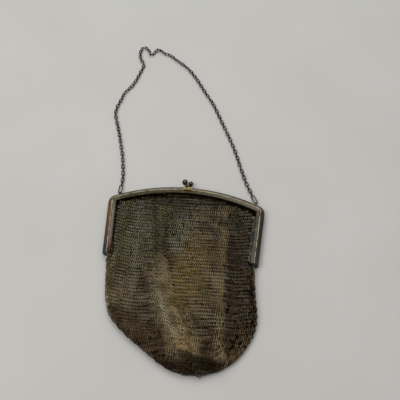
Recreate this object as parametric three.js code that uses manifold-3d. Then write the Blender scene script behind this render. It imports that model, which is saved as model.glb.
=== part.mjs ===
// A metal mesh purse lying on its back: a kiss-lock frame of two hinged halves, a ring-mesh bag that
// hangs from their channels, and a carrying chain laid on the surface beyond the crown.
// Millimetres. X runs along the frame, Y from the bag toward the chain, Z up from the surface.
// The origin is on the arch band at the crown, on the flat back of the frame, 3 mm inside its outer edge.
import * as THREE from "three";
import { mergeVertices } from "three/addons/utils/BufferGeometryUtils.js";
import Module from "manifold-3d";

// Driving sizes of the frame
const frameWidth = 127; // over the outer corners
const archRise = 14.4; // from the line of the corners up to the crown
const legLength = 49; // from the line of the corners down to the leg ends
const legLean = 4; // how far each leg end stands in from its corner
const cornerRadius = 7;
const bandWidth = 6.8; // of arch and legs, seen from the front
const backThickness = 4.8; // of the back half
const frontThickness = 4.4; // of the front half, at its ridge
const gap = 0.3; // kept between pieces that touch on the real purse
const cutPast = 1; // how far a cutting shape runs past what it cuts

// The band's section, from its outer edge
const crownY = 3; // outer edge of the arch at the crown
const sideWall = 1.4; // height of the upright outer wall
const ridgeAt = 3.4; // from the outer edge to the ridge line
const ridgeLand = 0.5;
const ridgeSoftness = 0.15; // how far the ridge's shoulders lie below it
const ridgeHeight = 0.5; // ridge over the hollow of the inner band
const innerBead = { width: 0.7, height: 0.2 }; // rolled inner edge
const edgeBevel = 0.25;
const backBevel = 1.6; // bevel round the plain back half

// The ring-mesh bag
const meshWall = 1.2;
const sheetGap = 4.4; // open height between the front and back mesh at the mouth
const meshTuck = 0.6; // of mesh inside the frame's channel
const channelDepth = 1.1;
const bagDrop = 142.9; // from the crown's origin to the lowest edge of the bag
const upperHeight = 8.2; // of the flat parts of the bag over the surface, down to below the legs
const lowerHeight = 6.6; // and toward the lowest edge
const tongueHeight = 7.8; // of the slack front fold over those flat parts
const sideRoll = 4.5; // width of the rounded edge below the legs
const bagLift = 0.15; // of the back mesh over the surface
const backSlope = 18; // length over which the mesh settles from the arch to its own height
const settleFrom = 2.5; // from the legs' channels, where the mesh starts to settle
const settleWidth = 8; // and where it has settled
const clearOfLegs = 0.01; // the mesh is still in the channels down to the leg ends
const rollLength = 3.7; // length over which the edge below the legs becomes round
const slotClearance = 0.05; // by which the open sides are cut past the faces of the two meshes

// Clasp: two balls on leaning stems. Across is from the middle of the frame, up from the surface.
const frontKnob = { ball: 2.5, across: -3.2, up: 6.4, stemAcross: -1 };
const backKnob = { ball: 2.2, across: 1.6, up: 4.5, stemAcross: 0.6 };
const ballReach = 8; // of the ball centres over the origin
const stemRadius = 0.8;
const stemFlare = 1.3; // of the stem's foot over the stem
const saddle = { width: 7.4, topWidth: 5, wall: 1, lap: 1, toe: 1.5 }; // front foot, bent over the band
const backFoot = { width: 4.4, height: 2.2, depth: 3.4, under: 2.4 }; // its middle is under the meeting plane

// Hinges and chain
const hingePin = 1.05; // radius
const hingeInset = 1.9; // pin centre over the leg end
const hingeStick = 1.6; // of pin past the inner edge of the leg
const lugAt = 0.885; // along half of the frame width
const lugEye = { length: 4.4, width: 2.6, wire: 0.5, sunk: 0.25 }; // on its wire's middle line, wire radius
const endLink = { length: 9.6, width: 3.6, wire: 0.45 };
const chainWidth = 3; // over a link
const chainLift = 0.05; // over the surface

// Finishes
const silver = new THREE.MeshStandardMaterial({ color: 0x8c8578, metalness: 1, roughness: 0.42 });
const brass = new THREE.MeshStandardMaterial({ color: 0xa08a4c, metalness: 1, roughness: 0.4 });
const ballSteel = new THREE.MeshStandardMaterial({ color: 0x55504c, metalness: 1, roughness: 0.2 });
const gunmetal = new THREE.MeshStandardMaterial({ color: 0x3a3836, metalness: 1, roughness: 0.45 });
const meshMetal = new THREE.MeshStandardMaterial({ color: 0x4c4434, metalness: 0.8, roughness: 0.55 });

const wasm = await Module();
wasm.setup();

// Shared geometry helpers
const lerp = (a, b, t) => a + (b - a) * t;

function smoothstep(low, high, x) {
  const t = Math.min(1, Math.max(0, (x - low) / (high - low)));
  return t * t * (3 - 2 * t);
}

// Straight-line reading of one column of a table whose rows are sorted by the key column.
function readTable(rows, key, column, at) {
  if (at <= rows[0][key]) return rows[0][column];
  for (let i = 1; i < rows.length; i++) {
    if (at > rows[i][key]) continue;
    const share = (at - rows[i - 1][key]) / (rows[i][key] - rows[i - 1][key]);
    return lerp(rows[i - 1][column], rows[i][column], share);
  }
  return rows[rows.length - 1][column];
}

function geometryOf(points, triangles) {
  const geometry = new THREE.BufferGeometry();
  geometry.setAttribute("position", new THREE.Float32BufferAttribute(points.flat(), 3));
  geometry.setIndex(triangles.flat());
  return geometry;
}

function solidOf(geometry, matrix = new THREE.Matrix4()) {
  const bare = geometry.clone();
  bare.deleteAttribute("normal");
  bare.deleteAttribute("uv");
  const merged = mergeVertices(bare.applyMatrix4(matrix), 1e-4);
  return new wasm.Manifold(
    new wasm.Mesh({
      numProp: 3,
      vertProperties: new Float32Array(merged.attributes.position.array),
      triVerts: new Uint32Array(merged.index.array),
    }),
  );
}

// A closed solid of these faces, turned round if they all point inward.
function facingOut(points, triangles) {
  const made = solidOf(geometryOf(points, triangles));
  if (made.volume() > 0) return made;
  return solidOf(geometryOf(points, triangles.map(([a, b, c]) => [a, c, b])));
}

function geometryFromSolid(solid) {
  const { numProp, numVert, vertProperties, triVerts } = solid.getMesh();
  const points = [];
  for (let i = 0; i < numVert; i++) points.push([...vertProperties.slice(i * numProp, i * numProp + 3)]);
  return geometryOf(points, [[...triVerts]]);
}

// Two rings of the same number of points, joined by quads split into triangles.
function bridge(triangles, from, to, count) {
  for (let i = 0; i < count; i++) {
    const next = (i + 1) % count;
    triangles.push([from + i, from + next, to + next], [from + i, to + next, to + i]);
  }
}

// A round wire along a closed flat loop in its own XY plane.
function wireLoop(loop, radius, sides) {
  const points = [];
  const triangles = [];
  loop.forEach(([x, y], i) => {
    const [ax, ay] = loop[(i + loop.length - 1) % loop.length];
    const [bx, by] = loop[(i + 1) % loop.length];
    const size = Math.hypot(bx - ax, by - ay);
    const out = [(by - ay) / size, -(bx - ax) / size];
    for (let k = 0; k < sides; k++) {
      const turn = (2 * Math.PI * k) / sides;
      const reach = radius * Math.cos(turn);
      points.push([x + out[0] * reach, y + out[1] * reach, radius * Math.sin(turn)]);
    }
  });
  loop.forEach((_, i) => bridge(triangles, i * sides, ((i + 1) % loop.length) * sides, sides));
  return geometryOf(points, triangles.map(([a, b, c]) => [a, c, b]));
}

// A loop with two straight sides and round ends, long in X, run anticlockwise.
function ovalLoop(length, width, steps) {
  const bend = width / 2;
  const straight = length / 2 - bend;
  return Array.from({ length: steps }, (_, i) => {
    const turn = (2 * Math.PI * (i + 0.5)) / steps;
    return [bend * Math.cos(turn) + Math.sign(Math.cos(turn)) * straight, bend * Math.sin(turn)];
  });
}

// The frame's U: its outer edge, with the direction toward the inside at each station
const halfWidth = frameWidth / 2;
const archRadius = (halfWidth ** 2 + archRise ** 2) / (2 * archRise);
const archCentreY = crownY - archRadius;
const cornerY = crownY - archRise;
const legEndY = cornerY - legLength;
const legTurn = Math.atan2(legLean, legLength);
const midPlane = backThickness + gap / 2;

// Outer edge of the right leg at a height y, and of its inner edges at an offset from it.
const legX = (y, inset = 0) =>
  halfWidth - ((cornerY - y) * legLean) / legLength - inset / Math.cos(legTurn);
const archY = (x, inset = 0) => archCentreY + Math.sqrt((archRadius - inset) ** 2 - x ** 2);

// The corner's arc touches both the arch and the leg: its centre is one radius inside each.
function cornerCentre() {
  let y = cornerY - cornerRadius;
  for (let i = 0; i < 20; i++) y = archY(legX(y, cornerRadius), cornerRadius);
  return [legX(y, cornerRadius), y];
}

function frameStations() {
  const [cx, cy] = cornerCentre();
  const touchTurn = Math.atan2(cx, cy - archCentreY); // angle from the crown at which the corner starts
  const right = [];
  const archSteps = 11;
  for (let i = 0; i <= archSteps; i++) {
    const turn = (touchTurn * i) / archSteps;
    right.push({ turn, x: archRadius * Math.sin(turn), y: archCentreY + archRadius * Math.cos(turn) });
  }
  const cornerSteps = 6;
  const lastTurn = Math.PI / 2 + legTurn;
  for (let i = 1; i <= cornerSteps; i++) {
    const turn = lerp(touchTurn, lastTurn, i / cornerSteps);
    right.push({ turn, x: cx + cornerRadius * Math.sin(turn), y: cy + cornerRadius * Math.cos(turn) });
  }
  const legSteps = 3;
  const legTop = right[right.length - 1].y;
  for (let i = 1; i <= legSteps; i++) {
    const y = lerp(legTop, legEndY, i / legSteps);
    right.push({ turn: lastTurn, x: legX(y), y });
  }
  const left = right.slice(1).map(({ turn, x, y }) => ({ turn: -turn, x: -x, y }));
  return [...left.reverse(), ...right].map(({ turn, x, y }) => ({
    x,
    y,
    inward: [-Math.sin(turn), -Math.cos(turn)],
  }));
}

// Section of one half: across is measured from the outer edge, up from the face where the halves meet.
function frontFace() {
  const hollow = frontThickness - ridgeHeight;
  const bead = bandWidth - innerBead.width;
  return [
    [0, sideWall],
    [ridgeAt - ridgeLand, frontThickness - ridgeSoftness],
    [ridgeAt, frontThickness],
    [ridgeAt + ridgeLand, frontThickness - ridgeSoftness / 2],
    [ridgeAt + 2 * ridgeLand, hollow + ridgeSoftness],
    [bead - edgeBevel, hollow + ridgeSoftness / 2],
    [bead, hollow + innerBead.height],
    [bandWidth - edgeBevel, hollow + innerBead.height],
    [bandWidth, hollow + innerBead.height - edgeBevel],
  ];
}

function backFace() {
  return [
    [0, backThickness - backBevel],
    [backBevel, backThickness],
    [bandWidth - edgeBevel, backThickness],
    [bandWidth, backThickness - edgeBevel],
  ];
}

function bandSection(face) {
  const channelLow = sheetGap / 2 - gap / 2 - gap;
  const channelHigh = channelLow + meshWall + 2 * gap;
  return [
    [0, 0],
    ...face,
    [bandWidth, channelHigh],
    [bandWidth - channelDepth, channelHigh],
    [bandWidth - channelDepth, channelLow],
    [bandWidth, channelLow],
    [bandWidth, 0],
  ];
}

function frameHalf(upward) {
  const section = bandSection(upward > 0 ? frontFace() : backFace());
  const stations = frameStations();
  const points = [];
  const triangles = [];
  for (const { x, y, inward } of stations)
    for (const [across, up] of section)
      points.push([
        x + inward[0] * across,
        y + inward[1] * across,
        midPlane + upward * (gap / 2 + up),
      ]);
  for (let i = 1; i < stations.length; i++)
    bridge(triangles, (i - 1) * section.length, i * section.length, section.length);
  const outline = section.map(([across, up]) => new THREE.Vector2(across, up));
  const last = (stations.length - 1) * section.length;
  for (const [a, b, c] of THREE.ShapeUtils.triangulateShape(outline, [])) {
    triangles.push([a, b, c], [last + a, last + c, last + b]);
  }
  return facingOut(points, triangles);
}

// Hinges: a pin at each leg end, half of it in a groove of each half
const pinY = legEndY + hingeInset;

function pinBar(radius, outerEnd, innerEnd) {
  const bar = new THREE.CylinderGeometry(radius, radius, outerEnd - innerEnd, 12);
  bar.rotateZ(Math.PI / 2);
  bar.translate((outerEnd + innerEnd) / 2, 0, 0);
  return bar;
}

const pinOuter = legX(pinY) - gap;
const pinInner = legX(pinY, bandWidth) - hingeStick;

function cutHinges(half) {
  const groove = pinBar(hingePin + gap, legX(pinY) + cutPast, pinInner - cutPast);
  const mirrored = pinBar(hingePin + gap, cutPast - pinInner, -legX(pinY) - cutPast);
  const place = new THREE.Matrix4().setPosition(0, pinY, midPlane);
  return half.subtract(solidOf(groove, place)).subtract(solidOf(mirrored, place));
}

// Lugs: wire eyes soldered to the outer edge of the back half
const lugX = halfWidth * lugAt;
const lugY = archY(lugX) - lugEye.sunk + lugEye.length / 2;
const lugZ = midPlane - gap - lugEye.width / 2 - lugEye.wire;

function addLugs(half) {
  const eye = wireLoop(ovalLoop(lugEye.length, lugEye.width, 12), lugEye.wire, 6);
  eye.rotateX(Math.PI / 2).rotateZ(Math.PI / 2);
  for (const side of [-1, 1])
    half = half.add(solidOf(eye, new THREE.Matrix4().setPosition(side * lugX, lugY, lugZ)));
  return half;
}

// Clasp: two balls on stems that pass side by side
function claspStem({ ball, across, up, stemAcross }, stemY, stemZ) {
  const from = new THREE.Vector3(stemAcross, stemY, stemZ);
  const to = new THREE.Vector3(across, ballReach, up);
  const stem = new THREE.CylinderGeometry(stemRadius, stemRadius * stemFlare, from.distanceTo(to), 10);
  const along = new THREE.Quaternion().setFromUnitVectors(
    new THREE.Vector3(0, 1, 0),
    to.clone().sub(from).normalize(),
  );
  const middle = from.clone().add(to).multiplyScalar(0.5);
  const one = new THREE.Vector3(1, 1, 1);
  return solidOf(stem, new THREE.Matrix4().compose(middle, along, one)).add(
    solidOf(new THREE.SphereGeometry(ball, 14, 10), new THREE.Matrix4().setPosition(to)),
  );
}

function extruded(corners, depth) {
  const shape = new THREE.Shape(corners.map(([x, y]) => new THREE.Vector2(x, y)));
  return new THREE.ExtrudeGeometry(shape, { depth, bevelEnabled: false });
}

// The front foot is a plate bent over the outer slope and the ridge, narrower at the top.
function claspKnobFront() {
  const ridgeTop = frontThickness + gap;
  const toe = gap + saddle.toe;
  const stemOut = gap + stemRadius * stemFlare;
  const plate = extruded(
    [
      [-gap - saddle.wall / 10, sideWall],
      [-toe, sideWall + gap / 2],
      [ridgeAt - ridgeLand - saddle.wall, ridgeTop + 0.8 * saddle.wall],
      [ridgeAt + saddle.lap, ridgeTop + 0.6 * saddle.wall],
      [ridgeAt + saddle.lap, ridgeTop],
      [ridgeAt - ridgeLand - gap / 2, ridgeTop],
    ],
    saddle.width,
  );
  const upright = new THREE.Matrix4().makeBasis(
    new THREE.Vector3(0, -1, 0),
    new THREE.Vector3(0, 0, 1),
    new THREE.Vector3(-1, 0, 0),
  );
  upright.setPosition(saddle.width / 2, crownY, midPlane + gap / 2);
  const low = crownY - ridgeAt - saddle.lap;
  const taper = extruded(
    [
      [-saddle.width / 2, low],
      [saddle.width / 2, low],
      [saddle.topWidth / 2, crownY + toe],
      [-saddle.topWidth / 2, crownY + toe],
    ],
    2 * (backThickness + frontThickness),
  );
  const foot = solidOf(plate, upright).intersect(solidOf(taper));
  const stemZ = midPlane + gap / 2 + sideWall + saddle.wall / 2;
  return geometryFromSolid(foot.add(claspStem(frontKnob, crownY + stemOut, stemZ)));
}

function claspKnobBack() {
  const stemY = crownY + gap + backFoot.height / 2;
  const stemZ = midPlane - backFoot.under;
  const foot = new THREE.BoxGeometry(backFoot.width, backFoot.height, backFoot.depth);
  foot.translate(backKnob.stemAcross, stemY, stemZ);
  return geometryFromSolid(solidOf(foot).add(claspStem(backKnob, stemY, stemZ)));
}

// The bag
// Below the legs: how far down toward the lowest edge, with both sides as shares of half the frame width.
const outline = [
  { down: 0.0, left: -0.855, right: 0.855 },
  { down: 0.012, left: -0.858, right: 0.858 },
  { down: 0.04, left: -0.888, right: 0.89 },
  { down: 0.085, left: -0.878, right: 0.9 },
  { down: 0.141, left: -0.862, right: 0.904 },
  { down: 0.281, left: -0.841, right: 0.917 },
  { down: 0.414, left: -0.808, right: 0.942 },
  { down: 0.517, left: -0.767, right: 0.95 },
  { down: 0.59, left: -0.712, right: 0.931 },
  { down: 0.66, left: -0.614, right: 0.898 },
  { down: 0.75, left: -0.463, right: 0.831 },
  { down: 0.813, left: -0.335, right: 0.769 },
  { down: 0.877, left: -0.209, right: 0.693 },
  { down: 0.944, left: -0.075, right: 0.573 },
  { down: 0.98, left: 0.03, right: 0.45 },
  { down: 1.0, left: 0.16, right: 0.34 },
];

// The slack front fold, down the whole bag: its foot on the left, its ridge on the right and how much of
// its full height it has there.
const tongue = [
  { down: 0.1, foot: -0.45, ridge: 0.46, rise: 0.0 },
  { down: 0.22, foot: -0.42, ridge: 0.49, rise: 0.22 },
  { down: 0.33, foot: -0.35, ridge: 0.5, rise: 0.42 },
  { down: 0.49, foot: -0.25, ridge: 0.52, rise: 0.68 },
  { down: 0.65, foot: -0.17, ridge: 0.535, rise: 0.88 },
  { down: 0.75, foot: -0.1, ridge: 0.535, rise: 1.0 },
  { down: 0.83, foot: -0.03, ridge: 0.53, rise: 1.0 },
  { down: 0.93, foot: 0.02, ridge: 0.52, rise: 0.9 },
];
const tongueSpread = 0.42; // width of the slope up from the foot, as a share of half the frame width
const tongueFall = 0.17; // width of the steep slope past the ridge
// Lower edge of that fold: how far across, and how far down the bag.
const tongueLip = [
  { across: -0.2, down: 0.875 },
  { across: 0.0, down: 0.878 },
  { across: 0.09, down: 0.876 },
  { across: 0.235, down: 0.9 },
  { across: 0.35, down: 0.922 },
  { across: 0.52, down: 0.93 },
  { across: 0.7, down: 0.91 },
];
const lipFall = 5; // length over which the fold drops below its lip
// Shallow folds down the left side: how far across, width and height as shares.
const sideFolds = [
  { across: -0.66, width: 0.09, height: 0.1 },
  { across: -0.44, width: 0.1, height: 0.13 },
  { across: 0.72, width: 0.07, height: 0.08 },
];

const lowerDrop = bagDrop + legEndY;
const mouthTop = midPlane + sheetGap / 2 + meshWall; // outer face of the front mesh in its channel
const mouthBack = midPlane - sheetGap / 2 - meshWall;
const inChannel = bandWidth - meshTuck;

function bagSides(y, inset) {
  const down = (legEndY - y) / lowerDrop;
  if (down <= 0) return [-legX(y, inChannel) + inset, legX(y, inChannel) - inset];
  const step = 0.01;
  const side = (name) => {
    const x = readTable(outline, "down", name, down) * halfWidth;
    const before = readTable(outline, "down", name, down - step) * halfWidth;
    const slope = (x - before) / (step * lowerDrop);
    return [x, inset * Math.hypot(1, Math.min(1.6, Math.abs(slope)))];
  };
  const [left, leftInset] = side("left");
  const [right, rightInset] = side("right");
  return [left + leftInset, right - rightInset];
}

// Height of the front mesh's outer face over the flat parts, from the folds alone.
function foldHeight(x, y) {
  const down = -y / bagDrop;
  const across = x / halfWidth;
  const foot = readTable(tongue, "down", "foot", down);
  const ridge = readTable(tongue, "down", "ridge", down);
  const rise = readTable(tongue, "down", "rise", down);
  const up = smoothstep(foot, foot + tongueSpread, across);
  const past = 1 - smoothstep(ridge, ridge + tongueFall, across);
  const lip = readTable(tongueLip, "across", "down", across);
  const below = 1 - smoothstep(lip, lip + lipFall / bagDrop, down);
  let height = tongueHeight * rise * up * past * below;
  const ease = smoothstep(0.12, 0.3, down) * (1 - smoothstep(0.72, 0.85, down));
  for (const fold of sideFolds)
    height += tongueHeight * fold.height * ease * Math.exp(-(((across - fold.across) / fold.width) ** 2));
  return height;
}

// How far a spot has left the channels of the arch and of the legs: 0 inside them, 1 in the open.
function openness(x, y, fromEdge) {
  const fromMouth = archY(x, inChannel) - y;
  const belowLegs = smoothstep(legEndY + clearOfLegs, legEndY - gap, y);
  const beside = Math.max(belowLegs, smoothstep(settleFrom, settleWidth, fromEdge));
  return smoothstep(meshTuck + gap, backSlope, fromMouth) * beside;
}

const flatHeight = (y) => lerp(upperHeight, lowerHeight, smoothstep(0.6, 0.9, -y / bagDrop));

function frontHeight(x, y, fromEdge) {
  return lerp(mouthTop, flatHeight(y) + foldHeight(x, y), openness(x, y, fromEdge));
}

function backHeight(x, y, fromEdge) {
  return lerp(mouthBack, bagLift, openness(x, y, fromEdge));
}

// Shares down the bag at which its cross-sections are taken: above the leg ends, then below them.
const upperRows = [0, 0.03, 0.09, 0.2, 0.36, 0.56, 0.78, 0.92, 1];
const lowerRows = [
  0.012, 0.04, 0.085, 0.141, 0.23, 0.32, 0.414, 0.517, 0.59, 0.66, 0.705, 0.75, 0.79, 0.83, 0.865, 0.9, 0.944,
  0.98, 1,
];
const acrossSteps = 26;

// Where the mouth's line ends at each side: the arch and the leg, both at the depth of the channel.
function mouthCorner() {
  let y = cornerY;
  for (let i = 0; i < 20; i++) y = archY(legX(y, inChannel), inChannel);
  return y;
}

function bagLoop(row, inset) {
  const top = mouthCorner();
  const upper = row <= 1;
  const squeeze = (lowerDrop - 1.5 * inset) / lowerDrop; // the inside stops one wall short of the lowest edge
  const edgeY = upper ? lerp(top, legEndY, row) : legEndY - (row - 1) * lowerDrop * squeeze;
  const [left, right] = bagSides(edgeY, inset);
  const roll = smoothstep(legEndY - gap, legEndY - gap - rollLength, edgeY) * Math.max(0, sideRoll - inset);
  const archShare = upper ? (1 - row) ** 1.3 : 0;
  const front = [];
  const back = [];
  for (let i = 0; i <= acrossSteps; i++) {
    const even = i / acrossSteps;
    const bunched = (1 - Math.cos(Math.PI * even)) / 2;
    const x = lerp(left, right, lerp(even, bunched, 0.6));
    const y = edgeY + archShare * (archY(x, inChannel) - archY(Math.max(-left, right), inChannel));
    const fromEdge = Math.min(x - left, right - x) + inset;
    const high = frontHeight(x, y, fromEdge) - inset;
    const low = backHeight(x, y, fromEdge) + inset;
    const blunt = 0.35; // keeps the outermost point from closing to nothing
    const closeness = Math.max(0, 1 - (fromEdge - inset + blunt) / (roll + blunt));
    const open = Math.sqrt(1 - closeness ** 2);
    const thinning = upper ? 1 : lerp(1, 0.72, smoothstep(1.85, 2, row));
    const middle = low + (Math.min(high, flatHeight(y)) - low) * 0.45;
    front.push([x, y, middle + (high - middle) * open * thinning]);
    back.push([x, y, middle - (middle - low) * open * thinning]);
  }
  return [...front, ...back.reverse()];
}

function meshBag() {
  const rows = [...upperRows, ...lowerRows.map((share) => 1 + share)];
  const outer = rows.map((row) => bagLoop(row, 0));
  const inner = rows.map((row) => bagLoop(row, meshWall));
  const count = outer[0].length;
  const points = [...outer.flat(), ...inner.flat()];
  const innerStart = outer.length * count;
  const triangles = [];
  for (let i = 1; i < rows.length; i++) {
    bridge(triangles, (i - 1) * count, i * count, count);
    bridge(triangles, innerStart + i * count, innerStart + (i - 1) * count, count);
  }
  bridge(triangles, innerStart, 0, count);
  const lastOuter = (rows.length - 1) * count;
  const lastInner = innerStart + lastOuter;
  for (let i = 0; i < acrossSteps; i++) {
    const mate = count - 1 - i;
    triangles.push([lastOuter + i, lastOuter + i + 1, lastOuter + mate - 1]);
    triangles.push([lastOuter + i, lastOuter + mate - 1, lastOuter + mate]);
    triangles.push([lastInner + i, lastInner + mate - 1, lastInner + i + 1]);
    triangles.push([lastInner + i, lastInner + mate, lastInner + mate - 1]);
  }
  return geometryFromSolid(openSides(facingOut(points, triangles)));
}

// Along the legs the front mesh belongs to the front half and the back mesh to the back half, so the
// mouth runs down between them to the hinge pins.
function openSides(shell) {
  const top = mouthCorner() + 2 * cutPast;
  const bottom = legEndY - gap;
  for (const side of [-1, 1]) {
    const inside = (y) => side * (legX(y, inChannel) - meshWall - slotClearance);
    const outside = (y) => side * (legX(y, inChannel) + cutPast);
    const corners = [
      [inside(bottom), bottom],
      [outside(bottom), bottom],
      [outside(top), top],
      [inside(top), top],
    ];
    const depth = sheetGap + 2 * slotClearance;
    const place = new THREE.Matrix4().setPosition(0, 0, midPlane - depth / 2);
    shell = shell.subtract(solidOf(extruded(corners, depth), place));
  }
  return shell;
}

// The chain
// Route of the chain on the surface, from the left end link round to the right one, chosen point by point.
const chainRoute = [
  [-56.5, 9.7],
  [-57.4, 16.8],
  [-58.6, 23.1],
  [-61.4, 35.7],
  [-64.5, 45.9],
  [-67.5, 56.2],
  [-70.8, 66.0],
  [-73.4, 73.3],
  [-75.1, 79.6],
  [-75.0, 86.9],
  [-72.7, 97.0],
  [-70.8, 105.3],
  [-64.7, 115.8],
  [-60.0, 133.0],
  [-58.5, 142.8],
  [-62.7, 151.2],
  [-64.1, 160.6],
  [-60.8, 166.5],
  [-55.5, 161.7],
  [-53.0, 157.5],
  [-49.6, 161.1],
  [-46.8, 164.9],
  [-39.8, 160.4],
  [-34.0, 157.8],
  [-27.5, 152.6],
  [-14.8, 141.9],
  [-4.1, 127.4],
  [4.1, 113.5],
  [13.3, 98.6],
  [21.2, 81.6],
  [31.2, 59.5],
  [36.8, 45.8],
  [43.2, 26.6],
  [48.0, 13.6],
];

const chainLow = chainWidth / 2 + chainLift; // height of the chain's middle over the surface

// An end link is held by the far wire of its lug and leans down and away from it toward the chain.
function endLinkPlace(side) {
  const hold = new THREE.Vector3(side * lugX, lugY + lugEye.length / 2, lugZ);
  const [x, y] = side < 0 ? chainRoute[0] : chainRoute[chainRoute.length - 1];
  const toward = new THREE.Vector3(x, y, chainLow).sub(hold).setZ(0).normalize();
  const reach = endLink.length / 2 - endLink.wire;
  const seat = lugEye.wire + endLink.wire + gap / 2;
  toward.z = (chainLow - lugZ) / endLink.length;
  toward.normalize();
  const middle = hold.clone().addScaledVector(toward, reach - seat);
  const far = middle.clone().addScaledVector(toward, reach + endLink.wire + gap);
  return { toward, middle, far };
}

function endLinkMesh(side) {
  const { toward, middle } = endLinkPlace(side);
  const bent = ovalLoop(endLink.length - 2 * endLink.wire, endLink.width - 2 * endLink.wire, 16);
  const across = new THREE.Vector3(0, 0, 1).cross(toward).normalize();
  const up = toward.clone().cross(across);
  const turn = new THREE.Matrix4().makeBasis(toward, across, up).setPosition(middle);
  return wireLoop(bent, endLink.wire, 6).applyMatrix4(turn);
}

function chainTube() {
  const points = [
    endLinkPlace(-1).far,
    ...chainRoute.map(([x, y]) => new THREE.Vector3(x, y, chainLow)),
    endLinkPlace(1).far,
  ];
  const section = new THREE.Shape();
  section.absarc(0, 0, chainWidth / 2, 0, 2 * Math.PI);
  return new THREE.ExtrudeGeometry(section, {
    steps: 80,
    curveSegments: 4,
    extrudePath: new THREE.CatmullRomCurve3(points, false, "centripetal"),
  });
}

// The assembled purse
const purse = new THREE.Group();

function addPiece(name, geometry, material) {
  const mesh = new THREE.Mesh(geometry, material);
  mesh.name = name;
  purse.add(mesh);
}

addPiece("frame_back", geometryFromSolid(addLugs(cutHinges(frameHalf(-1)))), silver);
addPiece("frame_front", geometryFromSolid(cutHinges(frameHalf(1))), silver);
addPiece("clasp_knob_front", claspKnobFront(), brass);
addPiece("clasp_knob_back", claspKnobBack(), ballSteel);
addPiece("hinge_pin_left", pinBar(hingePin, -pinInner, -pinOuter).translate(0, pinY, midPlane), gunmetal);
addPiece("hinge_pin_right", pinBar(hingePin, pinOuter, pinInner).translate(0, pinY, midPlane), gunmetal);
addPiece("mesh_bag", meshBag(), meshMetal);
addPiece("chain_end_link_left", endLinkMesh(-1), gunmetal);
addPiece("chain_end_link_right", endLinkMesh(1), gunmetal);
addPiece("chain", chainTube(), gunmetal);

export default purse;
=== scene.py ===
# %% [markdown]
# A ring-mesh purse lies on its back on a pale surface. Its frame, clasp, hinge pins and end links come
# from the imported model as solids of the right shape. This lesson gives them their finishes, and makes
# what a plain solid can't show: the thousands of small rings of the bag and the links of the chain.

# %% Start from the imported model
import math
import random

import bmesh
import bpy
from mathutils import Matrix, Vector
from mathutils.bvhtree import BVHTree
from mathutils.geometry import interpolate_bezier


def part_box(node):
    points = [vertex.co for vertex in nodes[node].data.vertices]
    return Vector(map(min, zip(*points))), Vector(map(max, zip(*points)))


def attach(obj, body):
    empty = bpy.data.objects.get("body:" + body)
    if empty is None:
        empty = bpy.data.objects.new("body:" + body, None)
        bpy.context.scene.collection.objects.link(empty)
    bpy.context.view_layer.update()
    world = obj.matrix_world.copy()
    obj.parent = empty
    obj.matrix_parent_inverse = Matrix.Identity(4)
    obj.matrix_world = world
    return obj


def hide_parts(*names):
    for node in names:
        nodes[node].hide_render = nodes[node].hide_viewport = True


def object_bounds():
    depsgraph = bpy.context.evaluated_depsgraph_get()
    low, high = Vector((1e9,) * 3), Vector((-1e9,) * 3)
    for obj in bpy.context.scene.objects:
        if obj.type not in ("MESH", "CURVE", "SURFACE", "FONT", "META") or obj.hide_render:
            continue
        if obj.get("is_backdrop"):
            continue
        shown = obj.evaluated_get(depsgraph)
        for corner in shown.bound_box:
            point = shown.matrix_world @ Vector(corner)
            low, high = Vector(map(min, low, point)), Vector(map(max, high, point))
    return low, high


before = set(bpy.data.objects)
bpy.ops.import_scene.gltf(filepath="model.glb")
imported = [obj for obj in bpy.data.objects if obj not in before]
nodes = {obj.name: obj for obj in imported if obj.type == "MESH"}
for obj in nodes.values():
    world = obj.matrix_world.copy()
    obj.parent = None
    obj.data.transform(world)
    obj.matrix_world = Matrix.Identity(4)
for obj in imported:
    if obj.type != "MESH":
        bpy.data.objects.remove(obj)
cad_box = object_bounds()
mm = 0.001
print("the packed model holds", ", ".join(sorted(nodes)))

# %% [markdown]
# The photograph looks down at the purse at 60 degrees and a little from the right. A camera could be
# turned by angles, but it is easier to name the spot it looks at and the direction from there back to
# the lens, and let that direction give the rotation.

# %% The camera
look_at = Vector((10.26, -3.99, 0)) * mm
camera_height = math.radians(60)
camera_side = math.radians(5.15)
camera_distance = 397 * mm

back_to_lens = Vector(
    (
        math.sin(camera_side) * math.cos(camera_height),
        -math.cos(camera_side) * math.cos(camera_height),
        math.sin(camera_height),
    )
)
camera_data = bpy.data.cameras.new("camera")
camera_data.sensor_width = 36
camera_data.lens = 43.2
camera_data.clip_start = 10 * mm
camera = bpy.data.objects.new("camera", camera_data)
camera.location = look_at + back_to_lens * camera_distance
camera.rotation_mode = "QUATERNION"
camera.rotation_quaternion = (-back_to_lens).to_track_quat("-Z", "Y")
bpy.context.scene.collection.objects.link(camera)
bpy.context.scene.camera = camera
print("the camera stands at", [round(v / mm) for v in camera.location], "mm")

# %% [markdown]
# The light is that of a bright room: soft from all round, with more from the left and from above. Two
# wide area lights and an even world do that. Small lamps would draw hard shadows that the photograph
# doesn't have.

# %% The light
bpy.context.scene.view_settings.view_transform = "Standard"
world = bpy.data.worlds.new("room")
bpy.context.scene.world = world
world.use_nodes = True
world.node_tree.nodes["Background"].inputs["Color"].default_value = (1.0, 0.985, 0.955, 1)
world.node_tree.nodes["Background"].inputs["Strength"].default_value = 0.2


def window(name, place, size, watts):
    light = bpy.data.lights.new(name, "AREA")
    light.size = size
    light.energy = watts
    made = bpy.data.objects.new(name, light)
    made.location = place
    made.rotation_mode = "QUATERNION"
    made.rotation_quaternion = (-Vector(place)).to_track_quat("-Z", "Y")
    bpy.context.scene.collection.objects.link(made)


window("window_left", (-0.5, -0.35, 0.95), 0.6, 3.2)
window("ceiling", (0.0, 0.55, 1.15), 1.1, 7.2)
print("two soft lights and an even room")

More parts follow.
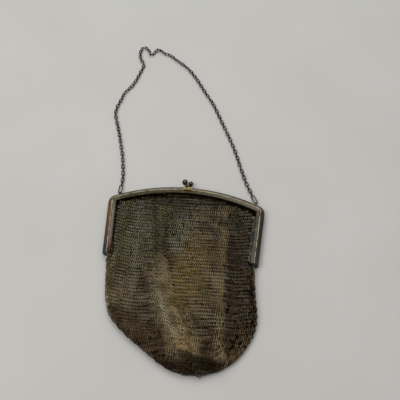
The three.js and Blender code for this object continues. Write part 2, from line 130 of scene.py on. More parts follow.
# %% [markdown]
# A finish is a tree of shader nodes. Wiring nodes by hand hides the idea behind the finish, so two
# small classes let it be written as sums: a signal is the output of a node, and adding or multiplying
# signals adds the Math nodes that do it. Colours are given as they look on a screen.


# %% Helpers for finishes
def paint(red, green, blue):
    """A screen colour, 0 to 255, as the linear colour that shaders use."""
    return tuple(((v / 255 + 0.055) / 1.055) ** 2.4 if v > 10 else v / 3295 for v in (red, green, blue))


class Signal:
    """A value in a finish. An expression on signals adds its Math nodes."""

    def __init__(self, finish, socket):
        self.finish = finish
        self.socket = socket

    def math(self, operation, first, second=0.0):
        return self.finish.node("ShaderNodeMath", {"operation": operation}, {0: first, 1: second})

    def __add__(self, other):
        return self.math("ADD", self, other)

    def __radd__(self, other):
        return self.math("ADD", other, self)

    def __sub__(self, other):
        return self.math("SUBTRACT", self, other)

    def __rsub__(self, other):
        return self.math("SUBTRACT", other, self)

    def __mul__(self, other):
        return self.math("MULTIPLY", self, other)

    def __truediv__(self, other):
        return self.math("DIVIDE", self, other)

    def __pow__(self, other):
        return self.math("POWER", self, other)

    def size(self):
        return self.math("ABSOLUTE", self)

    def least(self, other):
        return self.math("MINIMUM", self, other)

    def rise(self, low, high):
        """0 below low, 1 above high, and a smooth rise between."""
        return self.finish.node(
            "ShaderNodeMapRange",
            {"interpolation_type": "SMOOTHSTEP"},
            {"Value": self, "From Min": low, "From Max": high},
        )


class Finish:
    """A material on the Principled shader, built node by node."""

    def __init__(self, name, **constants):
        self.material = bpy.data.materials.new(name)
        self.material.use_nodes = True
        self.tree = self.material.node_tree
        self.shader = self.tree.nodes["Principled BSDF"]
        for socket, value in constants.items():
            self.set(socket.replace("_", " "), value)

    def node(self, kind, settings=None, sockets=None, output=0):
        made = self.tree.nodes.new(kind)
        for key, value in (settings or {}).items():
            if key == "stops":
                while len(made.color_ramp.elements) < len(value):
                    made.color_ramp.elements.new(1)
                for element, (at, colour) in zip(made.color_ramp.elements, value):
                    element.position = at
                    element.color = (*colour, 1)
            else:
                setattr(made, key, value)
        for key, value in (sockets or {}).items():
            self.join(value, made.inputs[key])
        return Signal(self, made.outputs[output])

    def join(self, value, socket):
        if isinstance(value, Signal):
            self.tree.links.new(value.socket, socket)
        elif isinstance(value, tuple) and len(value) == 3 and socket.type == "RGBA":
            socket.default_value = (*value, 1)
        else:
            socket.default_value = value

    def set(self, socket, value):
        self.join(value, self.shader.inputs[socket])

    def place(self):
        """The spot on the purse, in metres, and its three parts."""
        spot = self.node("ShaderNodeTexCoord", output=3)
        parts = [self.node("ShaderNodeSeparateXYZ", None, {0: spot}, k) for k in range(3)]
        return spot, *parts

    def noise(self, spot, grain, detail=2.0):
        """Cloudy values about 0.5 whose clouds are as wide as grain."""
        return self.node("ShaderNodeTexNoise", None, {"Vector": spot, "Scale": 1 / grain, "Detail": detail})

    def mix(self, share, under, over):
        return self.node("ShaderNodeMix", {"data_type": "RGBA"}, {0: share, 6: under, 7: over}, 2)

    def bump(self, height, depth, strength=1.0):
        self.set(
            "Normal",
            self.node("ShaderNodeBump", None, {"Height": height, "Distance": depth, "Strength": strength}),
        )


print("finishes can be written as sums")

# %% [markdown]
# The purse lies on a plain pale sheet. A single colour would look like no surface at all, so a faint
# cloudiness varies it, and a very low bump keeps its light from being even.

# %% The floor
floor_half = 1.5
floor = bpy.data.meshes.new("floor")
shape = bmesh.new()
bmesh.ops.create_grid(shape, x_segments=1, y_segments=1, size=floor_half)
bmesh.ops.translate(shape, verts=shape.verts, vec=(0, 0, -0.05 * mm))
shape.to_mesh(floor)
shape.free()
floor_object = bpy.data.objects.new("floor", floor)
bpy.context.scene.collection.objects.link(floor_object)
floor_object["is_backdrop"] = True

sheet = Finish("pale_sheet", Roughness=0.85)
spot, *_ = sheet.place()
sheet.set("Base Color", sheet.mix(sheet.noise(spot, 90 * mm), paint(216, 215, 210), paint(228, 227, 223)))
sheet.bump(sheet.noise(spot, 40 * mm), 1 * mm, 0.3)
floor.materials.append(sheet.material)
print("the floor is", 2 * floor_half, "m square")

# %% [markdown]
# The bag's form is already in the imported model, as a hollow shell. Rings have to lie on its outer face
# alone, so the shell is copied, its loose triangles are merged, and each face that looks into the
# hollow is dropped: a ray along its normal meets the wall opposite. The faces of the mouth's rim, which
# stand upright in the frame's channel, go too. What is left is the skin, rounded by subdivision.

# %% The skin of the bag
leg_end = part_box("frame_front")[0].y

skin = bmesh.new()
skin.from_mesh(nodes["mesh_bag"].data)
bmesh.ops.remove_doubles(skin, verts=skin.verts, dist=0.001 * mm)
walls = BVHTree.FromBMesh(skin)


def looks_inward(face):
    start = face.calc_center_median() + face.normal * 0.01 * mm
    return walls.ray_cast(start, face.normal)[0] is not None


def on_rim(face):
    return face.calc_center_median().y > leg_end - 1 * mm and abs(face.normal.z) < 0.3


inside = [face for face in skin.faces if looks_inward(face) or on_rim(face)]
bmesh.ops.delete(skin, geom=inside, context="FACES")
bmesh.ops.join_triangles(
    skin, faces=skin.faces, angle_face_threshold=math.radians(50), angle_shape_threshold=math.radians(60)
)
skin_mesh = bpy.data.meshes.new("skin")
skin.to_mesh(skin_mesh)
skin.free()
skin_object = bpy.data.objects.new("skin", skin_mesh)
bpy.context.scene.collection.objects.link(skin_object)
rounding = skin_object.modifiers.new("rounding", "SUBSURF")
rounding.levels = rounding.render_levels = 2
bpy.context.view_layer.update()
skin_tree = BVHTree.FromObject(skin_object, bpy.context.evaluated_depsgraph_get())
bpy.data.objects.remove(skin_object)
print("the skin has", len(skin_mesh.polygons), "faces before it is rounded")

# %% [markdown]
# The mesh is woven four to one: each ring passes through two rings of the row above and two of the row
# below. Along a row the rings lean on each other like fallen coins, and the next row leans the other
# way. Three sizes settle it, the ring's radius, the step along a row and the step from row to row.
# The rings of the front don't lie in level rows: the mesh there is slack and has slipped down.

# %% Rows of rings
ring_radius = 1.68 * mm
ring_wire = 0.25 * mm
ring_steps = 12
ring_sides = 4
ring_step = 1.65 * mm
row_steps = (2.05 * mm, 2.6 * mm)
slack_levels = (-118 * mm, -98 * mm)
lean = math.radians(46)
lean_in_channel = math.radians(20)
sunk = 1.35 * mm
first_column = 8 * mm

# The slip, in millimetres: the level of the row on the left flank, where the rows start to drop, where
# they have dropped, and by how much.
slip_table = [
    (10, -30, -15, 5.5),
    (-17, -28, -13, 7.0),
    (-35, -26, -10, 8.5),
    (-52, -23, -7, 10.0),
    (-68, -21, 2, 11.4),
    (-87, -17, 7, 12.4),
    (-101, -15, 17, 12.8),
    (-113, -11, 27, 12.6),
    (-119, -8, 30, 12.0),
    (-127, -4, 30, 6.5),
    (-142, -2, 30, 2.5),
]
crest_rise = 2.5
crest_reach = 14
ridge_rise = 2.4
right_flank = (36, 56)
right_drop = 3
left_flank = (-62, -27)
left_drop = 7

# Where the mesh of the front lies slack, in millimetres, and how unruly it is there.
slack_top = (-52, -34)
slack_top_column = (-32, -18)
slack_top_share = 0.65
slack_right = (32, 38)
slack_right_share = 0.9
slack_left = (-48, -30)
slack_left_share = 0.6

# How a ring is laid: the first value holds in tidy rows, and the second is added where it is slack.
channel_reach = (1 * mm, 2.5 * mm)
tilt_noise = (5, 5)
back_tilt_noise = 1.5
slope_noise = (0.05, 0.1)
luck_spread = (0.7, 0.5)
squeezed = (0.15, 0.6)
squeezed_luck = (0.1, 0.4)
squeeze_calms = 0.6
print("a ring is", round(2 * ring_radius / mm, 2), "mm across, and rows are", row_steps[1] / mm, "mm apart")

# %% [markdown]
# The slack mesh is told by one function, the place of a row at a given x. Each term of it is one thing
# seen in the photograph: the slip down the slope of the fold, the slow fall on the left flank, the small
# crest before the slope, and the sag to the right. Terms can be turned one by one until the rows agree.


# %% The lie of a row
def read(table, at):
    """Straight-line reading of a short table whose first column falls."""
    at = min(table[0][0], max(table[-1][0], at))
    for above, below in zip(table, table[1:]):
        if at >= below[0]:
            share = (above[0] - at) / (above[0] - below[0])
            return [a + (b - a) * share for a, b in zip(above[1:], below[1:])]


def smooth(low, high, x):
    t = min(1, max(0, (x - low) / (high - low)))
    return t * t * (3 - 2 * t)


def front_row(level, x):
    """Where a row of the front lies at x, all in metres."""
    foot, end, drop = read(slip_table, level / mm)
    x = x / mm
    slip = drop * smooth(foot, end, x)
    slip -= left_drop * (1 - smooth(*left_flank, x))
    slip -= crest_rise * smooth(foot - crest_reach, foot, x) * (1 - smooth(foot, end, x))
    slip -= min(ridge_rise, drop) * smooth(end, right_flank[0], x)
    slip -= min(right_drop, drop) * smooth(*right_flank, x)
    return level - slip * mm


def back_row(level, x):
    return level


fall = front_row(0, -60 * mm) - front_row(0, 50 * mm)
print("the top row of the front falls", round(fall / mm, 1), "mm from left to right")

# %% [markdown]
# A ring's axis is tilted from the skin's normal, along its row, to one side in even rows and to the other
# in odd rows. Where a row slopes, the rings are squeezed and lean down the slope. Small random turns
# keep the weave from looking printed, and they are larger where the mesh lies slack.


# %% A row over the skin
def walk(start, outward, row, level, heading, side):
    """The spots of one row over the skin, from its start to the edge of the bag."""
    place = start
    while True:
        nudge = 0.5 * mm
        slope = (row(level, place.x + nudge) - row(level, place.x - nudge)) / (2 * nudge)
        down = Vector((slope, -1, 0))
        down -= outward * down.dot(outward)
        along = outward.cross(down).normalized()
        goal = place + along * heading * ring_step
        if outward.z * side > 0.5:
            goal.y = row(level, goal.x)
        there, facing, _, _ = skin_tree.find_nearest(goal)
        off_edge = (there - goal).length > 0.5 * ring_step or (there - place).length < 0.5 * ring_step
        if off_edge or facing.z * side < -0.15:
            return
        yield there, facing, along
        place, outward = there, facing


def unrest(spot, side):
    """How unruly the rings lie: 0 where the mesh is drawn into rows, 1 where it lies slack."""
    if side < 0:
        return 0.0
    x, y = spot.x / mm, spot.y / mm
    top = smooth(*slack_top, y) * smooth(*slack_top_column, x)
    right = smooth(*slack_right, x)
    left = smooth(*slack_left, y)
    return max(slack_top_share * top, slack_right_share * right, slack_left_share * left)


def cuts_frame(middle, axis):
    """Whether the wire of a ring would run into a half of the frame."""
    reach = axis.orthogonal().normalized() * (ring_radius + ring_wire)
    for step in range(ring_steps):
        point = middle + Matrix.Rotation(2 * math.pi * step / ring_steps, 3, axis) @ reach
        near, outward, _, _ = frame_tree.find_nearest(point)
        if (point - near).dot(outward) < 0:
            return True
    return False


def lay_ring(place, facing, along, slope, side, way, chance):
    """One ring on the skin: its middle, the skin's normal, the ring's axis and its luck."""
    near_frame = smooth(*channel_reach, frame_tree.find_nearest(place)[3])
    wild = unrest(place, side)
    shaky = tilt_noise[0] + tilt_noise[1] * wild if side > 0 else back_tilt_noise
    tilt = lean_in_channel + (lean - lean_in_channel) * near_frame
    tilt *= 1 - squeeze_calms * smooth(*squeezed, slope)
    tilt = tilt * way + math.radians(chance.gauss(0, shaky))
    axis = facing * math.cos(tilt) + along * math.sin(tilt)
    across = facing.cross(along).normalized()
    axis += across * (slope + chance.gauss(0, slope_noise[0] + slope_noise[1] * wild))
    spread = luck_spread[0] + luck_spread[1] * wild
    spread *= 1 - squeeze_calms * smooth(*squeezed_luck, slope)
    luck = 0.5 + (chance.random() - 0.5) * spread
    return place - facing * sunk, facing.copy(), axis.normalized(), luck


def sheet_spots(row, side):
    """Every ring of the front (side 1) or the back (side -1)."""
    chance = random.Random(7)
    spots = []
    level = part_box("mesh_bag")[1].y + slip_table[0][-1] * mm
    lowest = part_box("mesh_bag")[0].y
    count = 0
    while row(level, first_column) > lowest + ring_wire:
        column = first_column + (count % 2) * ring_step / 2
        above = Vector((column, row(level, first_column), 50 * mm * side))
        start, outward, _, _ = skin_tree.ray_cast(above, Vector((0, 0, -side)))
        if start is not None:
            found = [(start, outward, Vector((1, 0, 0)))]
            found += walk(start, outward, row, level, 1, side)
            found += walk(start, outward, row, level, -1, side)
            for place, facing, along in found:
                slope = abs(row(level, place.x + mm) - row(level, place.x - mm)) / (2 * mm)
                ring = lay_ring(place, facing, along, slope, side, 1 if count % 2 else -1, chance)
                if not cuts_frame(ring[0], ring[2]):
                    spots.append(ring)
        level -= row_steps[0] + (row_steps[1] - row_steps[0]) * smooth(*slack_levels, level)
        count += 1
    return spots


print("a row is walked in steps of", round(ring_step / mm, 2), "mm")

# %% [markdown]
# A row could be a straight line projected onto the skin, but rings projected onto a steep fold stand too
# far apart. So each row is walked: from its start, one ring step at a time along the skin, and back to
# the row's height wherever the skin faces up. The rings lie lower near the frame, where the mesh is
# drawn flat into the channel, so the frame's halves are kept in a tree that tells how near they are. A
# ring whose wire would run into the frame is left out.

# %% The rings of the front and the back
frame_shape = bmesh.new()
for half in ("frame_front", "frame_back"):
    frame_shape.from_mesh(nodes[half].data)
frame_tree = BVHTree.FromBMesh(frame_shape)
frame_shape.free()
front_spots = sheet_spots(front_row, 1)
back_spots = sheet_spots(back_row, -1)
print(len(front_spots), "rings in front and", len(back_spots), "behind")

# %% [markdown]
# One ring is a small circle spun round a large one. Thousands of them could be copied by a loop, but
# Geometry Nodes does it at once: each spot carries the ring's axis as an attribute, a ring is put on
# each spot and turned to that axis, and the copies are then made real. The nodes also note how far each
# point of a ring stands out of the bag: the wire is rubbed bright where it stands out, and deep down its
# colour is painted dark as shade.


# %% One ring
def closed_ring(radius, wire, steps, sides):
    shape = bmesh.new()
    upright = Matrix.Translation((radius, 0, 0)) @ Matrix.Rotation(math.pi / 2, 4, "X")
    circle = bmesh.ops.create_circle(shape, segments=sides, radius=wire, matrix=upright)
    bmesh.ops.spin(
        shape,
        geom=circle["verts"] + shape.edges[:],
        cent=(0, 0, 0),
        axis=(0, 0, 1),
        angle=2 * math.pi,
        steps=steps,
        use_merge=True,
    )
    bmesh.ops.recalc_face_normals(shape, faces=shape.faces)
    return shape


def unwrap_ring(shape, steps, sides):
    """Lays the ring's faces out as a small chart, one column for each step round the ring."""
    chart = shape.loops.layers.uv.new("OFBake")
    for face in shape.faces:
        middle = face.calc_center_median()
        column = math.floor(math.atan2(middle.y, middle.x) / (2 * math.pi) * steps) % steps
        inward = Vector((middle.x, middle.y)).length - ring_radius
        row = math.floor(math.atan2(middle.z, inward) / (2 * math.pi) * sides) % sides
        for loop, (u, v) in zip(face.loops, ((0, 0), (1, 0), (1, 1), (0, 1))):
            loop[chart].uv = ((column + 0.1 + 0.8 * u) / steps, (row + 0.1 + 0.8 * v) / sides)


ring_shape = closed_ring(ring_radius, ring_wire, ring_steps, ring_sides)
unwrap_ring(ring_shape, ring_steps, ring_sides)
ring_mesh = bpy.data.meshes.new("ring")
ring_shape.to_mesh(ring_mesh)
ring_shape.free()
ring_mesh.shade_smooth()
ring_object = bpy.data.objects.new("ring", ring_mesh)
bpy.context.scene.collection.objects.link(ring_object)
print("a ring has", len(ring_mesh.polygons), "faces")

# %% [markdown]
# The tree copies the ring onto the spots, turns each copy to its axis and makes it real. It then stores
# two values: how far a point stands out of the skin, measured from the ring's middle, and the place of
# the ring's chart in the chart of the whole piece, so that no two rings share a part of it.


# %% The nodes that put a ring on each spot
class Steps:
    """A Geometry Nodes tree, built by one method that adds any node."""

    def __init__(self, name):
        self.tree = bpy.data.node_groups.new(name, "GeometryNodeTree")
        self.tree.interface.new_socket("Geometry", in_out="INPUT", socket_type="NodeSocketGeometry")
        self.tree.interface.new_socket("Geometry", in_out="OUTPUT", socket_type="NodeSocketGeometry")

    def node(self, kind, settings=None, sockets=None, output=0):
        made = self.tree.nodes.new(kind)
        for key, value in (settings or {}).items():
            setattr(made, key, value)
        for key, value in (sockets or {}).items():
            if isinstance(value, bpy.types.NodeSocket):
                self.tree.links.new(value, made.inputs[key])
            else:
                made.inputs[key].default_value = value
        return made.outputs[output] if made.outputs else None

    def attribute(self, name):
        return self.node("GeometryNodeInputNamedAttribute", {"data_type": "FLOAT_VECTOR"}, {"Name": name})

    def vector(self, operation, first, second, output=0):
        return self.node("ShaderNodeVectorMath", {"operation": operation}, {0: first, 1: second}, output)


steps = Steps("rings_on_spots")
spots_in = steps.node("NodeGroupInput")
one_ring = steps.node("GeometryNodeObjectInfo", None, {"Object": ring_object}, 4)
turn = steps.node("FunctionNodeAlignRotationToVector", {"axis": "Z"}, {"Vector": steps.attribute("axis")})
placed = steps.node(
    "GeometryNodeInstanceOnPoints", None, {"Points": spots_in, "Instance": one_ring, "Rotation": turn}
)
real = steps.node("GeometryNodeRealizeInstances", None, {"Geometry": placed})
from_middle = steps.vector("SUBTRACT", steps.node("GeometryNodeInputPosition"), steps.attribute("middle"))
standing = steps.vector("DOT_PRODUCT", from_middle, steps.attribute("outward"), 1)
noted = steps.node(
    "GeometryNodeStoreNamedAttribute",
    {"data_type": "FLOAT", "domain": "POINT"},
    {"Geometry": real, "Name": "standing_out", "Value": standing},
)
in_cell = steps.vector("MULTIPLY", steps.attribute("OFBake"), steps.attribute("cell_size"))
chart = steps.vector("ADD", in_cell, steps.attribute("cell"))
charted = steps.node(
    "GeometryNodeStoreNamedAttribute",
    {"data_type": "FLOAT2", "domain": "CORNER"},
    {"Geometry": noted, "Name": "OFBake", "Value": chart},
)
steps.node("NodeGroupOutput", None, {0: charted})
print("the tree has", len(steps.tree.nodes), "nodes")

# %% [markdown]
# The spots become a mesh of loose vertices with their attributes, the tree is run on it, and the result
# is kept as a plain mesh. One piece of all the rings would be too heavy to handle, so the front and the
# back are made in three strips each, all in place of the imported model's shell.


# %% Rings made real
carried = ("axis", "outward", "middle", "cell", "cell_size")


def ring_sheet(name, spots):
    """A piece made of one ring for each spot, in place of a part of the shell."""
    shape = bmesh.new()
    layers = {key: shape.verts.layers.float_vector.new(key) for key in carried}
    side = math.ceil(math.sqrt(len(spots)))
    luck = shape.verts.layers.float.new("luck")
    for count, (middle, outward, axis, chosen) in enumerate(spots):
        spot = shape.verts.new(middle)
        spot[luck] = chosen
        spot[layers["axis"]] = axis
        spot[layers["outward"]] = outward
        spot[layers["middle"]] = middle
        spot[layers["cell"]] = ((count % side) / side, (count // side) / side, 0)
        spot[layers["cell_size"]] = (1 / side, 1 / side, 0)
    carrier_mesh = bpy.data.meshes.new(name + "_spots")
    shape.to_mesh(carrier_mesh)
    shape.free()
    carrier = bpy.data.objects.new(name + "_spots", carrier_mesh)
    bpy.context.scene.collection.objects.link(carrier)
    carrier.modifiers.new("rings", "NODES").node_group = steps.tree
    bpy.context.view_layer.update()
    depsgraph = bpy.context.evaluated_depsgraph_get()
    made_mesh = bpy.data.meshes.new_from_object(carrier.evaluated_get(depsgraph))
    made_mesh.name = name
    for spare in carried:
        if spare in made_mesh.attributes:
            made_mesh.attributes.remove(made_mesh.attributes[spare])
    made_mesh.shade_smooth()
    bpy.data.objects.remove(carrier)
    made = bpy.data.objects.new(name, made_mesh)
    bpy.context.scene.collection.objects.link(made)
    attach(made, "root")
    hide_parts("mesh_bag")
    print(name, "has", len(spots), "rings and", len(made_mesh.polygons), "faces")
    return made


def strip(spots, left, right):
    return [spot for spot in spots if left * mm <= spot[0].x < right * mm]


strips = {"left": (-100, -18), "middle": (-18, 22), "right": (22, 100)}
bag_pieces = [
    ring_sheet(f"mesh_{side}_{part}", strip(spots, *edges))
    for side, spots in (("front", front_spots), ("back", back_spots))
    for part, edges in strips.items()
]
bpy.data.objects.remove(ring_object)

# %% [markdown]
# The chain is a row of oval links, each turned a quarter against the next and passed through it. A link
# is a ring whose two halves are drawn apart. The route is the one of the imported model's plain tube: a
# short list of chosen points with a smooth curve through them, read off at equal steps.

# %% The route of the chain
chain_route = [
    (-56.5, 9.7), (-57.4, 16.8), (-58.6, 23.1), (-61.4, 35.7), (-64.5, 45.9), (-67.5, 56.2),
    (-70.8, 66.0), (-73.4, 73.3), (-75.1, 79.6), (-75.0, 86.9), (-72.7, 97.0), (-70.8, 105.3),
    (-64.7, 115.8), (-60.0, 133.0), (-58.5, 142.8), (-62.7, 151.2), (-64.1, 160.6), (-60.8, 166.5),
    (-55.5, 161.7), (-53.0, 157.5), (-49.6, 161.1), (-46.8, 164.9), (-39.8, 160.4), (-34.0, 157.8),
    (-27.5, 152.6), (-14.8, 141.9), (-4.1, 127.4), (4.1, 113.5), (13.3, 98.6), (21.2, 81.6),
    (31.2, 59.5), (36.8, 45.8), (43.2, 26.6), (48.0, 13.6),
]
link_length = 5.25 * mm
link_width = 3.3 * mm
link_wire = 0.39 * mm
link_pitch = 3.46 * mm
link_height = 1.72 * mm
hold_end_link = 5.9 * mm
link_steps = 14
link_sides = 6
roll_noise = 9


def middle_of(node):
    low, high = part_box(node)
    return (low + high) / 2


def smooth_line(points, samples=24):
    """Points close together on a curve through the given ones."""
    line = []
    for k in range(len(points) - 1):
        before, start, end, after = (points[min(max(k + j, 0), len(points) - 1)] for j in (-1, 0, 1, 2))
        reach = (end - start).length / 3
        handle_out = start + (end - before).normalized() * reach
        handle_in = end - (after - start).normalized() * reach
        line += interpolate_bezier(start, handle_out, handle_in, end, samples)[:-1]
    return [*line, points[-1]]


def at_steps(line, first, last, pitch):
    """Places and directions at equal steps along a line, from first to last before its end."""
    lengths = [0.0]
    for a, b in zip(line, line[1:]):
        lengths.append(lengths[-1] + (b - a).length)
    span = lengths[-1] - first - last
    count = round(span / pitch)
    found = []
    k = 0
    for step in range(count + 1):
        at = first + span * step / count
        while lengths[k + 1] < at:
            k += 1
        share = (at - lengths[k]) / (lengths[k + 1] - lengths[k])
        found.append((line[k].lerp(line[k + 1], share), (line[k + 1] - line[k]).normalized()))
    return found


chain_line = smooth_line(
    [
        middle_of("chain_end_link_left"),
        *(Vector((x * mm, y * mm, link_height)) for x, y in chain_route),
        middle_of("chain_end_link_right"),
    ]
)
link_places = at_steps(chain_line, hold_end_link, hold_end_link, link_pitch)
print(len(link_places), "links")

# %% [markdown]
# One link is made and copied to each place. Every second link lies on its side and the others stand, as
# links must to pass through each other. A small random roll makes the chain look laid down by hand.

# %% The links
link_shape = closed_ring(link_width / 2 - link_wire, link_wire, link_steps, link_sides)
for way in (-1, 1):
    half = [v for v in link_shape.verts if v.co.x * way > 0]
    bmesh.ops.translate(link_shape, verts=half, vec=((link_length - link_width) / 2 * way, 0, 0))
link_mesh = bpy.data.meshes.new("link")
link_shape.to_mesh(link_mesh)
link_shape.free()

chain_shape = bmesh.new()
chance = random.Random(3)
for count, (place, along) in enumerate(link_places):
    across = Vector((0, 0, 1)).cross(along).normalized()
    up = along.cross(across)
    basis = Matrix((along, across, up)).transposed().to_4x4()
    roll = math.radians(90 * ((count + 1) % 2) + chance.gauss(0, roll_noise))
    turned = Matrix.Translation(place) @ basis @ Matrix.Rotation(roll, 4, "X")
    before = len(chain_shape.verts)
    chain_shape.from_mesh(link_mesh)
    chain_shape.verts.ensure_lookup_table()
    bmesh.ops.transform(chain_shape, matrix=turned, verts=chain_shape.verts[before:])
chain_mesh = bpy.data.meshes.new("chain_links")
chain_shape.to_mesh(chain_mesh)
chain_shape.free()
chain_mesh.shade_smooth()
chain = bpy.data.objects.new("chain_links", chain_mesh)
bpy.context.scene.collection.objects.link(chain)
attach(chain, "root")
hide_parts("chain")
print("the chain has", len(chain_mesh.polygons), "faces")

# %% [markdown]
# The rings are plated wire gone brown. Their tops are rubbed pale, and their depths are painted nearly
# black as shade. The bag's colour drifts: golden brown down the middle of the slack fold, greenish grey
# at the upper left and a darker purple brown on the right, which is partly painted shade of the slope
# that faces away from the light. Soft patches laid over each other by position do that, and more patches
# and lines paint shade along the edges and the mouth, and the light and shade of the folds.

# %% The finish of the rings
ring_metal = Finish("browned_ring_wire", Metallic=1.0)
spot, x, y, z = ring_metal.place()


def patch(middle, reach):
    """1 in the middle of a soft oval patch on the purse and 0 beyond its reach."""
    across = (x - middle[0] * mm) / (reach[0] * mm)
    down = (y - middle[1] * mm) / (reach[1] * mm)
    return 1 - (across * across + down * down).rise(0.0, 1.0)


def painted_light_streak(start, end, width):
    """1 on a straight line across the purse and 0 beyond its width and its two ends."""
    share = (y - start[1] * mm) / ((end[1] - start[1]) * mm)
    off = (x - (share * (end[0] - start[0]) + start[0]) * mm).size() / (width * mm)
    return (1 - off.rise(0.0, 1.0)) * share.rise(-0.1, 0.15) * (1 - share.rise(0.85, 1.1))


clouds = ring_metal.noise(spot, 11 * mm, 3.0)
tone = ring_metal.mix(clouds.rise(0.38, 0.62), paint(150, 126, 90), paint(222, 200, 158))
for middle, reach, share, colour in (
    ((11, -72), (20, 44), 0.85, paint(234, 198, 122)),
    ((-34, -34), (30, 46), 0.8, paint(168, 160, 122)),
    ((-14, -54), (8, 22), 0.6, paint(104, 92, 64)),
    ((-2, -42), (9, 26), 0.7, paint(214, 216, 178)),
    # Darker purple brown on the right: partly its own colour, partly painted shade of the slope facing away
    # from the light.
    ((52, -76), (22, 84), 0.9, paint(136, 112, 82)),
    ((44, -22), (14, 26), 0.6, paint(132, 128, 96)),
    # Painted shadow of the frame on the mesh along the mouth.
    ((-2, -8), (70, 12), 0.8, paint(92, 78, 58)),
    # These two: painted shade along the left and the right edge of the bag.
    ((-59, -66), (10, 84), 0.85, paint(84, 70, 48)),
    ((61, -66), (9, 76), 0.8, paint(72, 64, 46)),
    # Painted shadow under the overhanging lower edge of the fold.
    ((8, -142), (46, 12), 0.85, paint(80, 60, 40)),
    ((-34, -118), (30, 22), 0.6, paint(140, 112, 84)),
    # Painted shade in the crease at the lower right.
    ((28, -130), (12, 12), 0.7, paint(66, 48, 32)),
    # Painted highlight on the tongue of the fold.
    ((12, -122), (14, 8), 0.25, paint(224, 190, 120)),
):
    tone = ring_metal.mix(patch(middle, reach) * share, tone, colour)
# Each line is painted light or shade of a fold: the pale ones are painted highlights on lit sides, the dark
# ones painted shade on the far sides.
for start, end, width, share, colour in (
    ((-37, -14), (-32, -92), 6, 0.7, paint(238, 226, 194)),
    ((-25, -12), (-18, -60), 4, 0.75, paint(74, 74, 56)),
    ((-15, -84), (2, -120), 4, 0.8, paint(255, 244, 206)),
    ((31.5, -32), (32.5, -130), 4, 0.8, paint(240, 214, 150)),
    ((38, -34), (40, -134), 5, 0.7, paint(88, 68, 48)),
):
    tone = ring_metal.mix(painted_light_streak(start, end, width) * share, tone, colour)
# Rings that lie low, along the bag's rim near the floor, are painted dark as shade.
low_rim_shade = 1 - z.rise(3 * mm, 6.8 * mm)
tone = ring_metal.mix(low_rim_shade * 0.9, tone, paint(48, 36, 26))
standing = ring_metal.node("ShaderNodeAttribute", {"attribute_name": "standing_out"}, output=2)
luck = ring_metal.node("ShaderNodeAttribute", {"attribute_name": "luck"}, output=2)
# Tops that stand out are rubbed paler; the deep parts of each ring are painted nearly black as shade.
wear_and_depth_shade = (standing / (1.2 * mm) + luck * 0.8 - 0.36).rise(0.5, 1.0)
ring_metal.set("Base Color", ring_metal.mix(wear_and_depth_shade, paint(20, 14, 9), tone))
ring_metal.set("Roughness", 0.5 - wear_and_depth_shade * 0.16)
for piece in bag_pieces:
    piece.data.materials.clear()
    piece.data.materials.append(ring_metal.material)
print("rings finished")

# %% [markdown]
# The frame is nickel silver under a film of tarnish that shifts from brown through mauve to blue. A
# film follows the bar round, so its colour is read from two measures: how far round the frame a point
# is, and how far in from the outer edge. The second one also tells the outer slope, the ridge, the
# hollow inner band and the bead along the mesh from each other. The ridge's pale line is partly metal
# that hands have kept bright and partly a painted highlight, the inner band's film is painted darker as
# shade, and the bead is painted half dark as shade.

# %% The finish of the frame
arch_radius = 147.2 * mm
corner = Vector((63.5, -11.4)) * mm
leg_lean = 4 / 49
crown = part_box("frame_front")[1].y

# The parts of the bar's section, in millimetres in from the outer edge.
ridge_starts = (2.8, 3.2)
ridge_ends = (3.8, 4.1)
slope_to_band = (3.4, 4.2)
bead_shade_starts = (5.9, 6.2)

frame_metal = Finish("tarnished_silver", Metallic=1.0)
spot, x, y, _ = frame_metal.place()
down = crown - arch_radius - y
in_from_arch = arch_radius - (x * x + down * down) ** 0.5
in_from_leg = corner.x - (corner.y - y) * leg_lean - x.size()
across = in_from_arch.least(in_from_leg) / mm
around = x.math("ARCTAN2", x, y - leg_end) / math.pi + 0.5


def film(*stops):
    return frame_metal.node("ShaderNodeValToRGB", {"stops": stops}, {0: around})


outer_film = film(
    (0.02, paint(70, 76, 96)),
    (0.06, paint(118, 92, 92)),
    (0.11, paint(134, 104, 84)),
    (0.17, paint(164, 128, 84)),
    (0.24, paint(112, 104, 84)),
    (0.36, paint(92, 92, 78)),
    (0.42, paint(54, 60, 70)),
    (0.47, paint(108, 98, 62)),
    (0.56, paint(136, 124, 76)),
    (0.66, paint(98, 108, 104)),
    (0.76, paint(140, 112, 102)),
    (0.84, paint(70, 76, 66)),
    (0.97, paint(96, 94, 86)),
)
# The inner band's film is the tarnish painted darker than the outer one, as shade of a band that slopes
# down inward.
inner_film_and_shade = film(
    (0.02, paint(70, 44, 38)),
    (0.05, paint(108, 92, 84)),
    (0.18, paint(118, 110, 96)),
    (0.24, paint(66, 62, 46)),
    (0.5, paint(74, 66, 48)),
    (0.62, paint(84, 82, 70)),
    (0.76, paint(104, 98, 82)),
    (0.82, paint(72, 72, 62)),
    (0.97, paint(88, 88, 80)),
)
blotches = frame_metal.noise(spot, 5 * mm, 4.0)
on_ridge = across.rise(*ridge_starts) * (1 - across.rise(*ridge_ends))
# The ridge's pale line is partly rubbed metal and partly a painted highlight.
ridge_rub_and_highlight = on_ridge * blotches.rise(0.32, 0.6)
colour = frame_metal.mix(across.rise(*slope_to_band), outer_film, inner_film_and_shade)
# The innermost edge, the bead along the mesh, is painted half dark as shade.
colour = frame_metal.mix(across.rise(*bead_shade_starts) * 0.5, colour, paint(60, 48, 34))
colour = frame_metal.mix(blotches.rise(0.5, 0.75) * 0.35, colour, paint(150, 140, 118))
grime = frame_metal.noise(spot, 1.6 * mm, 4.0).rise(0.45, 0.7)
colour = frame_metal.mix(0.28 + grime * 0.3, colour, paint(34, 28, 22))
colour = frame_metal.mix(ridge_rub_and_highlight * 0.7, colour, paint(178, 168, 144))
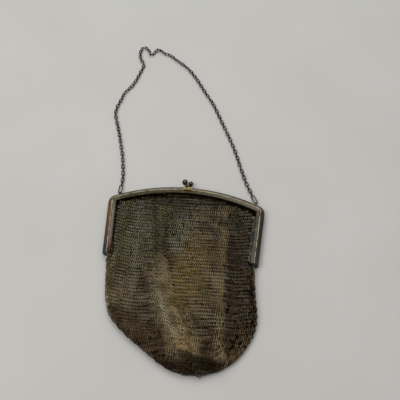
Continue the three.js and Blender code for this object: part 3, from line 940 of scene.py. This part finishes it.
frame_metal.set("Base Color", colour)
frame_metal.set("Roughness", 0.3 + blotches * 0.2)
frame_metal.bump(frame_metal.noise(spot, 2.5 * mm, 3.0), 0.08 * mm)
print("the film follows the frame round")

# %% [markdown]
# The clasp is yellow brass at its foot, dulled in patches, and ends in smooth dark balls with a sharp
# highlight, so one finish changes over at the foot's edge. The chain, its end links and the hinge pins
# are oxidised wire, dark with paler rubbed places.

# %% The finishes of the clasp, the pins, the end links and the chain
foot_edge = (crown + 2.0 * mm, crown + 2.4 * mm)
steel = Finish("polished_dark_steel", Metallic=1.0)
spot, _, y, _ = steel.place()
on_ball = y.rise(*foot_edge)
grime = steel.noise(spot, 1.2 * mm, 3.0)
brass = steel.mix(grime.rise(0.35, 0.65), paint(84, 74, 44), paint(140, 128, 84))
steel.set("Base Color", steel.mix(on_ball, brass, paint(104, 96, 90)))
steel.set("Roughness", 0.42 - on_ball * 0.36)

gunmetal = Finish("gunmetal_wire", Metallic=1.0)
spot, *_ = gunmetal.place()
dull = gunmetal.noise(spot, 3 * mm, 3.0)
gunmetal.set("Base Color", gunmetal.mix(dull.rise(0.35, 0.7), paint(46, 42, 39), paint(88, 82, 76)))
gunmetal.set("Roughness", 0.3 + dull * 0.25)

for name, finish in {
    "frame_back": frame_metal,
    "frame_front": frame_metal,
    "clasp_knob_front": steel,
    "clasp_knob_back": steel,
    "hinge_pin_left": gunmetal,
    "hinge_pin_right": gunmetal,
    "chain_end_link_left": gunmetal,
    "chain_end_link_right": gunmetal,
}.items():
    nodes[name].data.materials.clear()
    nodes[name].data.materials.append(finish.material)
chain_mesh.materials.append(gunmetal.material)
print("frame, clasp, pins and chain finished")

# %% [markdown]
# Rings and links stand a little out of the plain solids they replace. The two boxes, before and after,
# are written down so that anyone can see by how much.

# %% The sizes, and the end
shown_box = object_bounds()
for title, box in (("the packed model", cad_box), ("the purse", shown_box)):
    low, high = ([round(v / mm, 1) for v in corner] for corner in box)
    print(title, "reaches from", low, "to", high)
